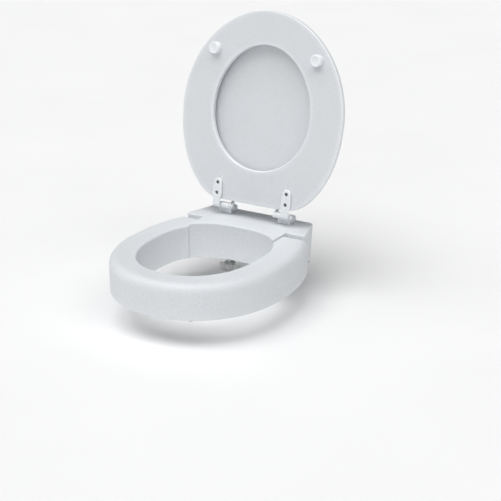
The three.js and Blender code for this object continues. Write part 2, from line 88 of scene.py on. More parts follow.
class Oval(NamedTuple):
    """An oval that is widest at y and reaches `front` towards -Y and `back` towards +Y from there."""

    y: float
    half_width: float
    front: float
    back: float
    front_power: float = 2
    back_power: float = 2

    def at(self, turn, inset=0):
        """The point at an angle, on the oval drawn in by `inset`."""
        cosine, sine = math.cos(turn), math.sin(turn)
        power, reach = (self.back_power, self.back) if sine > 0 else (self.front_power, self.front)
        x = math.copysign(abs(cosine) ** (2 / power), cosine) * (self.half_width - inset)
        y = math.copysign(abs(sine) ** (2 / power), sine) * (reach - inset)
        return Vector((x, self.y + y))

    def turn_at_x(self, x, inset=0):
        """The angle in the rear right quarter where the oval crosses x."""
        return math.acos((x / (self.half_width - inset)) ** (self.back_power / 2))

    def turn_at_y(self, y, inset=0):
        """The angle in the rear right quarter where the oval crosses y."""
        return math.asin(((y - self.y) / (self.back - inset)) ** (self.back_power / 2))


# ---- Driving sizes of the fine shapes ----
RING = Oval(-201, RING_HIGH.x, -201 - RING_LOW.y, 237, 2.12, 2.3)
OPENING = Oval(-196, 120, 152, 122, 2.24, 2.7)
RING_TOP = RING_HIGH.z  # the ring's top is lower than the rear block's
RING_EDGE, RING_EDGE_POWER = 20, 2.5  # the ring's outer top edge: its reach and squareness
RING_LIP, BLOCK_LIP = 4, 3  # radii round the top of the opening
FOOT = 3  # radius along the riser's foot
BLOCK_EDGE = 2.5
BLOCK_CORNER = 7
BLOCK_DRAFT = 4  # the block is this much narrower at its foot, on each side
BLOCK_FRONT = -54
BLOCK_FRONT_HALF = BLOCK_HIGH.x
BLOCK_BACK_HALF = 119
NOSE_HALF = 99
SEAM = 0.5
SEAM_EDGE, NOSE_EDGE = 0.7, 2
ARM_END = BLOCK_FRONT - SEAM
ARM_EDGE = 16.5  # radius along the top of the arms' ends

SEAT_OVAL = Oval(-200, 187, 206, 214.5, 1.95, 2.2)
HOLE_OVAL = Oval(-209.6, 112.75, 127.2, 127.2)
HOLE_TAPER = 0.06  # the hole is this much narrower at its front
SEAT_UNDER, SEAT_TOP, SEAT_CROWN, SEAT_HEEL = -8.5, 5.5, 1.4, 12
SEAT_EDGE_UNDER, SEAT_EDGE_OVER = 2.6, 5
LID_UNDER, LID_TOP, LID_EDGE, LID_CROWN, LID_HEEL = 9, 18.5, 4, 1.6, 14
LID_INSET, LID_DISH, LID_DISH_RIM = 12, 6.5, 0.82

AXLE = 3  # radius of the seat hinge pins
KNUCKLE, EAR_ROUND = 6.6, 6.8  # radii round the pins
SEAT_ARM = (74, 89)  # the seat strap's knuckle, from and to, along X
LID_ARM = (50.5, 55.6)
EAR = (56, 73.6)  # the post's ear, from and to, along X
EAR_ROOT = 5.2  # depth of the ear where it stands on its base
POST_FRONT, POST_TALL, POST_RIB = -14, 12, 5
BOLT_RADIUS, THREAD_TOP = 4, -18
HEAD_POCKET, HEAD_POCKET_DEPTH = 8.5, 5.5  # the recess for the bolt's head
STRAP_SCREWS = (25, 46.5)  # distances forward of the hinge axis
STRAP_HIP, STRAP_TIP = 11.2, 9.2
STRAP_THICK, LID_STRAP_THICK, LID_STRAP_SUNK = 5, 4, 2.3
SCREW_SHANK, SCREW_HEAD, SCREW_HIGH, SCREW_SUNK, SCREW_GRIP = 1.8, 3.4, 2, 1.4, 7
SEAT_BUMPER = Vector((118.4, -319))
LID_BUMPER = Vector((96, -318))
PLUG = 4  # radius of the plugs that hold the bumpers


# ---- Curves ----
def spread(start, end, count):
    return [start + (end - start) * i / count for i in range(count + 1)]


def straight(start, end, count):
    start, end = Vector(start), Vector(end)
    return [start.lerp(end, share) for share in spread(0, 1, count)]


def bend(start, middle, end, count):
    """A quadratic curve from start to end that heads for the middle point."""
    return [
        start.lerp(middle, share).lerp(middle.lerp(end, share), share)
        for share in spread(0, 1, count)
    ]


def arc(centre, radius, start_degrees, end_degrees, count):
    turns = spread(math.radians(start_degrees), math.radians(end_degrees), count)
    return [Vector((centre[0] + radius * math.cos(t), centre[1] + radius * math.sin(t))) for t in turns]


def soft_loop(runs, radii, count=4):
    """Joins runs of points, each ending where the next one starts, and rounds the corners between them."""
    loop = []
    for run, following, radius in zip(runs, runs[1:] + runs[:1], radii):
        corner = run[-1]
        before = corner + (run[-2] - corner).normalized() * radius
        after = corner + (following[1] - corner).normalized() * radius
        loop += run[1:-1] + bend(before, corner, after, count)
    return loop


def soft_polygon(corners, radius, count=3):
    """A closed outline through the corners, each one rounded."""
    points = [Vector(corner) for corner in corners]
    runs = [[a, b] for a, b in zip(points, points[1:] + points[:1])]
    return soft_loop(runs, [radius] * len(runs), count)


def rounding(radius, drop, power=2.0):
    """How far a rounded edge stands back at `drop` from its face. Above 2, the power makes it squarer."""
    if drop >= radius:
        return 0.0
    return radius - (radius**power - (radius - drop) ** power) ** (1 / power)


def smoothstep(low, high, value):
    share = min(max((value - low) / (high - low), 0), 1)
    return share * share * (3 - 2 * share)


# ---- Meshes ----
def loft(loops, capped=True):
    """Joins loops of equal length into a closed skin. Without caps, the last loop joins the first."""
    bm = bmesh.new()
    rows = [[bm.verts.new(point) for point in loop] for loop in loops]
    count = len(rows[0])
    for low, high in zip(rows, rows[1:] if capped else rows[1:] + rows[:1]):
        for i in range(count):
            bm.faces.new((low[i], low[(i + 1) % count], high[(i + 1) % count], high[i]))
    if capped:
        bm.faces.new(rows[0])
        bm.faces.new(rows[-1])
    bmesh.ops.recalc_face_normals(bm, faces=bm.faces)
    return bm


def level(points, z):
    return [(x, y, z) for x, y in points]


def plate(outline, low, high, edge=0.0, count=3):
    """An outline in X and Y, made solid from low to high, with its rims rounded."""
    bm = loft([level(outline, low), level(outline, high)])
    if edge:
        rims = [e for e in bm.edges if abs(e.verts[0].co.z - e.verts[1].co.z) < 1e-6]
        bmesh.ops.bevel(
            bm, geom=rims, offset=edge, segments=count, profile=0.5, affect="EDGES", clamp_overlap=True
        )
    return bm


ALONG_X = Matrix(((0, 0, 1, 0), (1, 0, 0, 0), (0, 1, 0, 0), (0, 0, 0, 1)))


def bar(outline, low, high, edge=0.0):
    """An outline in Y and Z, made solid along X."""
    bm = plate(outline, low, high, edge)
    bm.transform(ALONG_X)
    return bm


def brick(low, high, edge=0.0):
    corners = [(low[0], low[1]), (high[0], low[1]), (high[0], high[1]), (low[0], high[1])]
    outline = soft_polygon(corners, max(edge, 0.2))
    return plate(outline, low[2], high[2], edge)


def turned(profile, centre=(0, 0), sides=48, place=None):
    """A profile of (radius, height) points, spun about Z and closed by flat ends."""
    turns = spread(0, 2 * math.pi, sides)[:-1]
    loops = [
        [(centre[0] + r * math.cos(t), centre[1] + r * math.sin(t), z) for t in turns] for r, z in profile
    ]
    bm = loft(loops)
    if place:
        bm.transform(place)
    return bm


def rod(radius, low, high, centre, edge=0.3, sides=40, place=None):
    """A round bar along Z with softened ends."""
    profile = [(radius - edge, low), (radius, low + edge), (radius, high - edge), (radius - edge, high)]
    return turned(profile, centre, sides, place)


def bore(radius, low, high, centre, sides=32, place=None):
    """A round cutter along Z."""
    return turned([(radius, low), (radius, high)], centre, sides, place)


def joined(parts):
    """Several meshes as one, still overlapping."""
    whole = bmesh.new()
    for part in parts:
        draft = bpy.data.meshes.new("draft")
        part.to_mesh(draft)
        part.free()
        whole.from_mesh(draft)
        bpy.data.meshes.remove(draft)
    return whole


def draft_object(bm):
    mesh = bpy.data.meshes.new("draft")
    bm.to_mesh(mesh)
    bm.free()
    draft = bpy.data.objects.new("draft", mesh)
    bpy.context.scene.collection.objects.link(draft)
    return draft


def taken(draft, *helpers):
    """The draft's mesh after its modifiers. The draft and its helpers are removed."""
    bpy.context.view_layer.update()
    result = draft.evaluated_get(bpy.context.evaluated_depsgraph_get())
    bm = bmesh.new()
    bm.from_mesh(result.to_mesh())
    for spare in (draft, *helpers):
        mesh = spare.data
        bpy.data.objects.remove(spare)
        bpy.data.meshes.remove(mesh)
    return bm


def carved(bm, cutters):
    """Cuts closed meshes, clear of one another, out of a closed mesh."""
    draft = draft_object(bm)
    tool = draft_object(joined(cutters))
    cut = draft.modifiers.new("cut", "BOOLEAN")
    cut.operation = "DIFFERENCE"
    cut.solver = "EXACT"
    cut.object = tool
    return taken(draft, tool)


def moulded(parts, voxel=0.4, softening=5):
    """Fuses overlapping solids into one skin, with the small fillets of a moulded piece."""
    draft = draft_object(joined(parts))
    remesh = draft.modifiers.new("fuse", "REMESH")
    remesh.mode = "VOXEL"
    remesh.voxel_size = voxel
    soften = draft.modifiers.new("soften", "SMOOTH")
    soften.factor = 0.5
    soften.iterations = softening
    return taken(draft)


def mirrored(bm):
    bm = bm.copy()
    bm.transform(Matrix.Scale(-1, 4, (1, 0, 0)))
    bmesh.ops.reverse_faces(bm, faces=bm.faces)
    return bm


def piece(node, bm, crease=38):
    """Puts a fine mesh in the place of a CAD node, on the node's body and in its material."""
    bm.transform(Matrix.Scale(MM, 4))
    mesh = bpy.data.meshes.new(node + "_fine")
    bm.to_mesh(mesh)
    bm.free()
    mesh.shade_smooth()
    mesh.set_sharp_from_angle(angle=math.radians(crease))
    made = bpy.data.objects.new(node + "_fine", mesh)
    bpy.context.scene.collection.objects.link(made)
    weighted = made.modifiers.new("flat faces stay flat", "WEIGHTED_NORMAL")
    weighted.keep_sharp = True
    mesh.materials.append(MATERIALS[SLOT_OF[node]])
    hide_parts(node)
    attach(made, BODY_OF[node])
    return made


def pair(name, bm, place=None):
    """The right-hand piece and its mirror image."""
    other = mirrored(bm)
    for side, form in (("_right", bm), ("_left", other)):
        if place:
            form.transform(place)
        piece(name + side, form)


# ---- Finishes ----
class Shader:
    """A material's node tree with short ways to add to it. Scales are per metre, depths in metres."""

    def __init__(self, name):
        self.material = bpy.data.materials.new(name)
        self.material.use_nodes = True
        self.tree = self.material.node_tree
        self.surface = self.tree.nodes["Principled BSDF"]
        self.place = self.add("TexCoord").outputs["Object"]

    def add(self, kind, inputs=None, **settings):
        node = self.tree.nodes.new("ShaderNode" + kind)
        for key, value in settings.items():
            setattr(node, key, value)
        for key, value in (inputs or {}).items():
            self.feed(node.inputs[key], value)
        return node

    def feed(self, socket, value):
        if isinstance(value, bpy.types.NodeSocket):
            self.tree.links.new(value, socket)
        else:
            socket.default_value = value

    def noise(self, scale, detail=2.0, stretch=None):
        place = self.place
        if stretch:
            place = self.add("Mapping", {"Vector": place, "Scale": stretch}).outputs["Vector"]
        return self.add("TexNoise", {"Vector": place, "Scale": scale, "Detail": detail}).outputs["Fac"]

    def pebbles(self, scale):
        node = self.add(
            "TexVoronoi", {"Vector": self.place, "Scale": scale, "Smoothness": 0.6}, feature="SMOOTH_F1"
        )
        return node.outputs["Distance"]

    def spread(self, value, low, high, to_low=0.0, to_high=1.0):
        inputs = {"Value": value, "From Min": low, "From Max": high, "To Min": to_low, "To Max": to_high}
        return self.add("MapRange", inputs).outputs["Result"]

    def maths(self, operation, first, second):
        return self.add("Math", {0: first, 1: second}, operation=operation).outputs[0]

    def blend(self, share, first, second, mode="MIX"):
        node = self.add("Mix", data_type="RGBA", blend_type=mode)
        self.feed(node.inputs["Factor"], share)
        self.feed(node.inputs["A"], first)
        self.feed(node.inputs["B"], second)
        return node.outputs["Result"]

    def bump(self, height, depth, under=None):
        inputs = {"Height": height, "Distance": depth, "Strength": 1.0}
        if under:
            inputs["Normal"] = under
        return self.add("Bump", inputs).outputs["Normal"]

    def edges(self, radius):
        """About 1 along edges that are tighter than the radius, 0 on open faces."""
        soft = self.add("Bevel", {"Radius": radius}, samples=4).outputs["Normal"]
        plain = self.add("NewGeometry").outputs["Normal"]
        node = self.add("VectorMath", {0: soft, 1: plain}, operation="DOT_PRODUCT")
        return self.spread(node.outputs["Value"], 0.995, 0.86)

    def rims(self):
        """About 1 on the crown of a rounded edge, 0 on flat faces."""
        return self.spread(self.add("NewGeometry").outputs["Pointiness"], 0.503, 0.525)

    def corners(self, distance):
        """About 1 in corners and gaps, 0 in the open."""
        node = self.add("AmbientOcclusion", {"Distance": distance}, samples=6)
        return self.spread(node.outputs["AO"], 0.85, 0.25)

    def set(self, **inputs):
        for key, value in inputs.items():
            self.feed(self.surface.inputs[key.replace("_", " ")], value)
        return self.material


def tinted(colour, factor):
    return tuple(channel * factor for channel in colour) + (1.0,)


class Plastic(NamedTuple):
    """A moulded plastic: its colour, its gloss and the size and depth of its grain."""

    colour: tuple
    roughness: float
    grain: float  # pebbles per metre
    grain_depth: float
    waves_depth: float
    mottle: float  # how much its tone varies
    glow: float  # how much light it carries under its skin
    rim: float  # how much lighter its edges are painted, as a painted highlight


def plastic(name, look):
    shader = Shader(name)
    clouds = shader.noise(11, 4)
    tone = shader.spread(clouds, 0.3, 0.7)
    colour = shader.blend(tone, tinted(look.colour, 1 - look.mottle), tinted(look.colour, 1 + look.mottle))
    speck = shader.spread(shader.noise(look.grain * 0.6, 1), 0.3, 0.7, 0.955, 1.045)
    speckled = shader.add("CombineColor", {"Red": speck, "Green": speck, "Blue": speck}).outputs["Color"]
    colour = shader.blend(1.0, colour, speckled, "MULTIPLY")
    # Painted highlight: rounded edges are coloured lighter to stand in for the bright reflections along them; the
    # same mask also makes them a little glossier.
    edge_highlight_and_polish = shader.maths("MAXIMUM", shader.edges(0.0012), shader.rims())
    colour = shader.blend(edge_highlight_and_polish, colour, tinted(look.colour, 1 + look.rim))
    # Painted shade: corners and gaps, found by ambient occlusion, are coloured darker.
    painted_corner_shade = shader.maths("MULTIPLY", shader.corners(0.008), 0.12)
    colour = shader.blend(painted_corner_shade, colour, (0.42, 0.41, 0.40, 1))
    scuffs = shader.spread(shader.noise(60, 3, stretch=(1, 14, 3)), 0.62, 0.75, 0, 0.10)
    patches = shader.spread(shader.noise(45, 3), 0.3, 0.7, -0.05, 0.05)
    gloss = shader.maths("ADD", shader.maths("ADD", scuffs, patches), look.roughness)
    gloss = shader.maths("SUBTRACT", gloss, shader.maths("MULTIPLY", edge_highlight_and_polish, 0.12))
    waves = shader.bump(shader.noise(24, 2), look.waves_depth)
    grain = shader.bump(shader.pebbles(look.grain), look.grain_depth, waves)
    fine = shader.bump(shader.noise(look.grain * 2.4, 2), look.grain_depth * 0.4, grain)
    return shader.set(
        Base_Color=colour,
        Roughness=gloss,
        Normal=fine,
        IOR=1.49,
        Subsurface_Weight=look.glow,
        Subsurface_Radius=(1.0, 0.9, 0.8),
        Subsurface_Scale=0.004,
    )


def rubber(name):
    shader = Shader(name)
    tone = shader.spread(shader.noise(90, 4), 0.3, 0.7)
    colour = shader.blend(tone, (0.44, 0.45, 0.46, 1), (0.52, 0.53, 0.54, 1))
    # The pad's edges are coloured lighter.
    lighter_edges = shader.maths("MULTIPLY", shader.edges(0.001), 0.5)
    colour = shader.blend(lighter_edges, colour, (0.62, 0.62, 0.62, 1))
    skin = shader.bump(shader.noise(2200, 3), 0.00006)
    gloss = shader.spread(shader.noise(300, 2), 0.3, 0.7, 0.72, 0.88)
    return shader.set(Base_Color=colour, Roughness=gloss, Normal=skin)


def steel(name):
    """Zinc-plated steel with fine turning marks and a little tarnish."""
    shader = Shader(name)
    stain = shader.spread(shader.noise(700, 4), 0.4, 0.65)
    colour = shader.blend(stain, (0.30, 0.31, 0.33, 1), (0.17, 0.16, 0.15, 1))
    colour = shader.blend(shader.edges(0.0004), colour, (0.55, 0.56, 0.58, 1))
    gloss = shader.spread(shader.noise(1500, 3), 0.3, 0.7, 0.28, 0.5)
    marks = shader.bump(shader.noise(2600, 2, stretch=(1, 6, 6)), 0.00002)
    return shader.set(Base_Color=colour, Roughness=gloss, Metallic=0.95, Normal=marks)


MATERIALS = {
    "riser_plastic": plastic(
        "riser_plastic", Plastic((0.705, 0.728, 0.750), 0.52, 620, 0.00010, 0.0006, 0.012, 0.10, 0.05)
    ),
    "seat_plastic": plastic(
        "seat_plastic", Plastic((0.69, 0.708, 0.730), 0.42, 900, 0.00008, 0.0003, 0.012, 0.05, 0.22)
    ),
    "hinge_plastic": plastic(
        "hinge_plastic", Plastic((0.80, 0.825, 0.845), 0.30, 1400, 0.00003, 0.0001, 0.008, 0.15, 0.10)
    ),
    "bolt_plastic": plastic(
        "bolt_plastic", Plastic((0.72, 0.73, 0.71), 0.36, 1500, 0.00003, 0.0001, 0.02, 0.20, 0.06)
    ),
    "pad_rubber": rubber("pad_rubber"),
    "screw_steel": steel("screw_steel"),
}


# ---- Riser ----
# Heights at which the riser's outline is drawn: close together where its edges are round.
FOOT_LEVELS = [0, 0.15, 0.5, 1.1, 2, FOOT]
DROPS = [20, 17, 14.5, 12.4, 10.4, 8.7, 7.2, 5.8, 4.6, 3.6, 2.75, 2.05, 1.45, 0.95, 0.55, 0.28, 0.1, 0]


def levels(top):
    return FOOT_LEVELS + [15, 30, 42] + [top - drop for drop in DROPS]


def ring_loop(z):
    def stand_back(edge, foot=FOOT, power=2.0):
        return rounding(edge, RING_TOP - z, power) + rounding(foot, z)

    outer = stand_back(RING_EDGE, power=RING_EDGE_POWER)
    lip = stand_back(RING_LIP, 2)
    seam = NOSE_HALF + SEAM + stand_back(SEAM_EDGE, SEAM_EDGE)
    end = ARM_END - stand_back(ARM_EDGE)
    start = RING.turn_at_y(end, outer)
    mouth = OPENING.turn_at_x(seam, -lip)
    outside = [RING.at(turn, outer) for turn in spread(start, -math.pi - start, 210)]
    inside = [OPENING.at(turn, -lip) for turn in spread(-math.pi - mouth, mouth, 150)]
    runs = [
        outside,
        straight(outside[-1], (-seam, end), 5),
        straight((-seam, end), inside[0], 7),
        inside,
        straight(inside[-1], (seam, end), 7),
        straight((seam, end), outside[0], 5),
    ]
    return soft_loop(runs, [2.5, 1.5, 0.8, 0.8, 1.5, 2.5])


def block_loop(z):
    def stand_back(edge, foot=FOOT):
        return rounding(edge, HEIGHT - z) + rounding(foot, z)

    lip = stand_back(BLOCK_LIP, 2)
    edge = stand_back(BLOCK_EDGE)
    seam = NOSE_HALF - stand_back(NOSE_EDGE, SEAM_EDGE)
    lean = BLOCK_DRAFT * (1 - z / HEIGHT)
    front = BLOCK_FRONT + edge
    back = BLOCK_HIGH.y - edge - lean
    slope = (BLOCK_FRONT_HALF - BLOCK_BACK_HALF) / (BLOCK_HIGH.y - BLOCK_FRONT)

    def half(y):
        return BLOCK_BACK_HALF + (BLOCK_HIGH.y - y) * slope - edge - lean

    mouth = OPENING.turn_at_x(seam, -lip)
    inside = [OPENING.at(turn, -lip) for turn in spread(math.pi - mouth, mouth, 90)]
    runs = [
        inside,
        straight(inside[-1], (seam, front), 5),
        straight((seam, front), (half(front), front), 3),
        straight((half(front), front), (half(back), back), 7),
        straight((half(back), back), (-half(back), back), 20),
        straight((-half(back), back), (-half(front), front), 7),
        straight((-half(front), front), (-seam, front), 3),
        straight((-seam, front), inside[0], 5),
    ]
    corner = BLOCK_CORNER
    return soft_loop(runs, [0.8, 1.5, corner, corner, corner, corner, 1.5, 0.8], 6)


def pad_place(node):
    """A CAD pad's middle and the turn of its long side, taken from its vertices."""
    points = [vertex.co / MM for vertex in frame["nodes"][node].data.vertices]
    low, high = limits(node)
    middle = (low + high) / 2
    far = max(points, key=lambda p: (p.xy - middle.xy).length)
    flat = [p for p in points if (p.xy - middle.xy).dot(far.xy - middle.xy) > 0]
    mean = sum((p.xy for p in flat), Vector((0, 0))) / len(flat)
    turn = math.atan2(*reversed(mean - middle.xy))
    return Matrix.Translation((middle.x, middle.y, low.z)) @ Matrix.Rotation(turn, 4, "Z")


PAD_LONG, PAD_WIDE, PAD_HIGH = 44, 12, 4
PADS = [node for node in SLOT_OF if node.startswith("grip_pad")]


def pill(half_long, half_wide, count=14):
    reach = half_long - half_wide
    return arc((reach, 0), half_wide, -90, 90, count) + arc((-reach, 0), half_wide, 90, 270, count)


def pad_form():
    """A rubber pad with five cross grooves in the face that grips the bowl."""
    form = plate(pill(PAD_LONG / 2, PAD_WIDE / 2), 0, PAD_HIGH, 0.7)
    grooves = [brick((x - 0.7, -PAD_WIDE, -1), (x + 0.7, PAD_WIDE, 0.8)) for x in spread(-13, 13, 4)]
    return carved(form, grooves)


def pad_pocket(node):
    pocket = plate(pill(PAD_LONG / 2 + GAP, PAD_WIDE / 2 + GAP), -5, PAD_HIGH + GAP)
    pocket.transform(pad_place(node))
    return pocket


def hinge_bores():
    """Bores for the riser's hinge pins, left and right."""
    centre = (RISER_HINGE.y, RISER_HINGE.z)
    low, high = limits("riser_hinge_pin_right")
    radius = (high.z - low.z) / 2 + GAP
    right = bore(radius, low.x - 1, high.x + 1, centre, place=ALONG_X)
    return [mirrored(right), right]


def vent(y):
    """A moulding vent in the underside."""
    return turned([(5.6, -1), (5.6, 0.2), (5, 0.9), (5, 6)], (0, y))


def make_riser():
    for body, loop, vent_y in (("riser_ring", ring_loop, -367), ("riser_rear_block", block_loop, -20)):
        cuts = [vent(vent_y)] + hinge_bores()
        cuts += [pad_pocket(pad) for pad in PADS if ("block" in pad) == ("block" in body)]
        if body == "riser_rear_block":
            cuts += [bore(4.8, -1, HEIGHT + 1, (x, 0)) for x in (-BOLT_X, BOLT_X)]
        top = RING_TOP if body == "riser_ring" else HEIGHT
        piece(body, carved(loft([level(loop(z), z) for z in levels(top)]), cuts))
    for pad in PADS:
        form = pad_form()
        form.transform(pad_place(pad))
        piece(pad, form)
    low, high = limits("riser_hinge_pin_right")
    pin = rod((high.z - low.z) / 2, low.x, high.x, (RISER_HINGE.y, RISER_HINGE.z), 0.8, place=ALONG_X)
    pair("riser_hinge_pin", pin)


# ---- Mounting hardware ----
def threaded(radius, low, high, pitch=2.2, depth=0.55, sides=36):
    """A round bar whose skin is a screw thread, tapered at its lower end."""
    loops = []
    for z in spread(low, high, round((high - low) / pitch * 8)):
        lead = min((z - low) / 3, 1)
        fade = smoothstep(high, high - pitch, z)
        loop = []
        for turn in spread(0, 2 * math.pi, sides)[:-1]:
            phase = (z / pitch - turn / (2 * math.pi)) % 1
            cut = depth * fade * smoothstep(0.1, 0.45, abs(phase - 0.5) * 2)
            reach = radius - cut - (1 - lead) * 0.9
            loop.append((BOLT_X + reach * math.cos(turn), reach * math.sin(turn), z))
        loops.append(loop)
    return loft(loops)


def make_bolts():
    head = (BOLT_HIGH.x - BOLT_LOW.x) / 2
    top = BOLT_HIGH.z
    shank_top = top - 4.5
    loops = [
        (BOLT_RADIUS, THREAD_TOP - 1),
        (BOLT_RADIUS, shank_top),
        (head - 0.5, shank_top),
        (head, shank_top + 0.6),
        (head, top - 1.4),
        (head - 0.5, top - 0.5),
        (head - 1.6, top),
    ]
    head_form = turned(loops, (BOLT_X, 0))
    slot = brick((BOLT_X - head, -0.8, top - 1.6), (BOLT_X + head, 0.8, top + 1))
    whole = joined([threaded(BOLT_RADIUS, BOLT_LOW.z, THREAD_TOP), head_form])
    pair("mounting_bolt", carved(whole, [slot]))

    rim = (WASHER_HIGH.x - WASHER_LOW.x) / 2
    low, high = WASHER_LOW.z, WASHER_HIGH.z
    disc = turned(
        [(rim - 0.7, low), (rim, low + 0.7), (rim, high - 0.7), (rim - 0.7, high)], (BOLT_X, 0)
    )
    pair("bolt_washer", carved(disc, [bore(BOLT_RADIUS + GAP, low - 1, high + 1, (BOLT_X, 0))]))
    pair("wing_nut", wing_nut())


def wing_nut():
    """A hub with two cupped wings that hang below it."""
    top = NUT_HIGH.z - 1
    span = (NUT_HIGH.x - NUT_LOW.x) / 2 - 0.6
    drop = NUT_HIGH.z - NUT_LOW.z
    hub_low = top - drop + 4
    points = [(-span, 0.4), (-span, 5 - drop), (-span + 8, -drop + 1.2), (-9, 4 - drop), (9, 4 - drop)]
    points += [(span - 8, -drop + 1.2), (span, 5 - drop), (span, 0.4), (10, -0.6), (-10, -0.6)]
    outline = soft_polygon(points, 3.0, 8)
    wings = plate(outline, -2.1, 2.1, 1.2)
    wings.transform(Matrix.Translation((BOLT_X, 0, top)) @ Matrix.Rotation(math.pi / 2, 4, "X"))
    hub = turned([(8.2, hub_low), (9, hub_low + 1), (9, top), (8.2, top + 1)], (BOLT_X, 0))
    nut = moulded([wings, hub], 0.5)
    return carved(nut, [bore(BOLT_RADIUS + GAP, hub_low - 5, top + 5, (BOLT_X, 0))])


# ---- Hinge posts, caps and pins ----
def flared(radius, low, floor, flare=0.5):
    """A round cutter open at its low end, with a softened rim there."""
    return [(radius + flare, low - 1), (radius + flare, low), (radius, low + flare), (radius, floor)]


def hinge_post():
    low, high = POST_LOW.z, HEIGHT + POST_TALL
    front, back = POST_FRONT, POST_HIGH.y
    half = (POST_HIGH.x - POST_LOW.x) / 2
    base = brick((BOLT_X - half, front, low), (BOLT_X + half, back, high), 0.7)
    ribs = [
        brick((x, front - 1.5, low), (x + POST_RIB, front + 2, high - 1), 0.7)
        for x in (BOLT_X - half, BOLT_X + half - POST_RIB)
    ]
    outline = arc((HINGE.y, HINGE.z), EAR_ROUND, -145, -370, 30)
    outline += [Vector((front + EAR_ROOT, high + 4)), Vector((front + EAR_ROOT, low + 1))]
    outline += [Vector((front, low + 1)), Vector((front, high + 0.5))]
    ear = bar(outline, *EAR, 0.6)
    form = moulded([base, ear] + ribs, softening=2)
    floor = high - HEAD_POCKET_DEPTH
    wide = HEAD_POCKET + 0.6
    profile = [(HEAD_POCKET, floor), (HEAD_POCKET, high - 0.4), (wide, high), (wide, high + 1)]
    recess = turned(profile, (BOLT_X, 0))
    hole = bore(4.5, low - 1, floor + 0.5, (BOLT_X, 0))
    eye = bore(AXLE + GAP, EAR[0] - 1, EAR[1] + 1, (HINGE.y, HINGE.z), place=ALONG_X)
    return carved(carved(form, [recess, eye]), [hole])


def bolt_cap():
    low, high = CAP_LOW, CAP_HIGH
    corners = [
        (low.y, low.z),
        (high.y, low.z),
        (high.y, low.z + 1.5 - GAP),
        (low.y + 3, high.z),
        (low.y, high.z - 1.0),
    ]
    return bar(soft_polygon(corners, 0.5), low.x, high.x, 0.45)


def seat_pin(node, head_at_inner_end):
    """The pin with its domed head and a chamfered end, at the right-hand hinge."""
    low, high = limits(node)
    start, end = (-high.x, -low.x) if head_at_inner_end else (low.x, high.x)
    radius = (high.z - low.z) / 2
    length = end - start
    dome = [(radius - 0.4, 0), (radius, 0.4), (radius, 1.6), (radius - 0.4, 2.2), (radius - 1.4, 2.8)]
    profile = [(AXLE - 0.5, 0), (AXLE, 0.5), (AXLE, length - 2.8)]
    profile += [(r, length - 2.8 + z) for r, z in dome]
    if head_at_inner_end:
        profile = [(r, length - z) for r, z in reversed(profile)]
    form = turned([(r, start + z) for r, z in profile], (HINGE.y, HINGE.z), 40, ALONG_X)
    return mirrored(form) if head_at_inner_end else form


def make_posts():
    pair("hinge_post", hinge_post())
    pair("bolt_cap", bolt_cap())
    piece("seat_hinge_pin_left", seat_pin("seat_hinge_pin_left", True))
    piece("seat_hinge_pin_right", seat_pin("seat_hinge_pin_right", False))


# ---- Seat and lid, drawn closed about their hinge axis ----
def heeled(point, heel, softness=7):
    """Cuts the oval off along its heel, through soft corners."""
    return Vector((point.x, -heel - softness * math.log1p(math.exp((-heel - point.y) / softness))))


ROUND = spread(0, 2 * math.pi, 240)[:-1]


def rim(inset, heel):
    return [heeled(SEAT_OVAL.at(turn, inset), heel) for turn in ROUND]


def hole(grow):
    points = [HOLE_OVAL.at(turn, -grow) for turn in ROUND]
    return [Vector((p.x * (1 + HOLE_TAPER * (p.y - HOLE_OVAL.y) / HOLE_OVAL.front), p.y)) for p in points]


def between(first, second, share):
    return [a.lerp(b, share) for a, b in zip(first, second)]


def quarter(radius, count=6):
    """Pairs (stand-back, rise) up a quarter round from its face to its side."""
    turns = spread(0, math.pi / 2, count)
    return [(radius * (1 - math.sin(t)), radius * (1 - math.cos(t))) for t in turns]


def seat_skin():
    """The ring's section, once round: underside, outer edge, crowned top and the side of the hole."""
    under, over = SEAT_EDGE_UNDER, SEAT_EDGE_OVER
    brim = SEAT_TOP - SEAT_CROWN
    inner, outer = hole(under), rim(under, SEAT_HEEL + under)
    loops = [level(between(inner, outer, share), SEAT_UNDER) for share in spread(0, 1, 8)[:-1]]
    for back, rise in quarter(under):
        loops.append(level(rim(back, SEAT_HEEL + back), SEAT_UNDER + rise))
    for back, rise in reversed(quarter(over)):
        loops.append(level(rim(back, SEAT_HEEL + back), brim - rise))
    inner, outer = hole(over), rim(over, SEAT_HEEL + over)
    for share in spread(1, 0, 12)[1:-1]:
        crown = SEAT_CROWN * (1 - (2 * share - 1) ** 2)
        loops.append(level(between(inner, outer, share), brim + crown))
    for back, rise in quarter(over):
        loops.append(level(hole(back), brim - rise))
    for back, rise in reversed(quarter(under)[1:]):
        loops.append(level(hole(back), SEAT_UNDER + rise))
    return loft(loops, capped=False)


def lid_skin():
    def outline(inset):
        return rim(LID_INSET + inset, LID_HEEL + inset)

    middle = [Vector((0, SEAT_OVAL.y))] * len(ROUND)
    shares = [0.02] + spread(0.1, 0.96, 26)
    brim = LID_TOP - LID_CROWN
    under = outline(2.5)
    over = outline(LID_EDGE)
    loops = []
    for share in shares:
        dish = LID_DISH * max(1 - (share / LID_DISH_RIM) ** 2, 0)
        loops.append(level(between(middle, under, share), LID_UNDER + dish))
    loops += [level(outline(back), LID_UNDER + rise) for back, rise in quarter(2.5)]
    loops += [level(outline(back), brim - rise) for back, rise in reversed(quarter(LID_EDGE))]
    for share in reversed(shares):
        loops.append(level(between(middle, over, share), LID_TOP - LID_CROWN * share**2))
    return loft(loops)


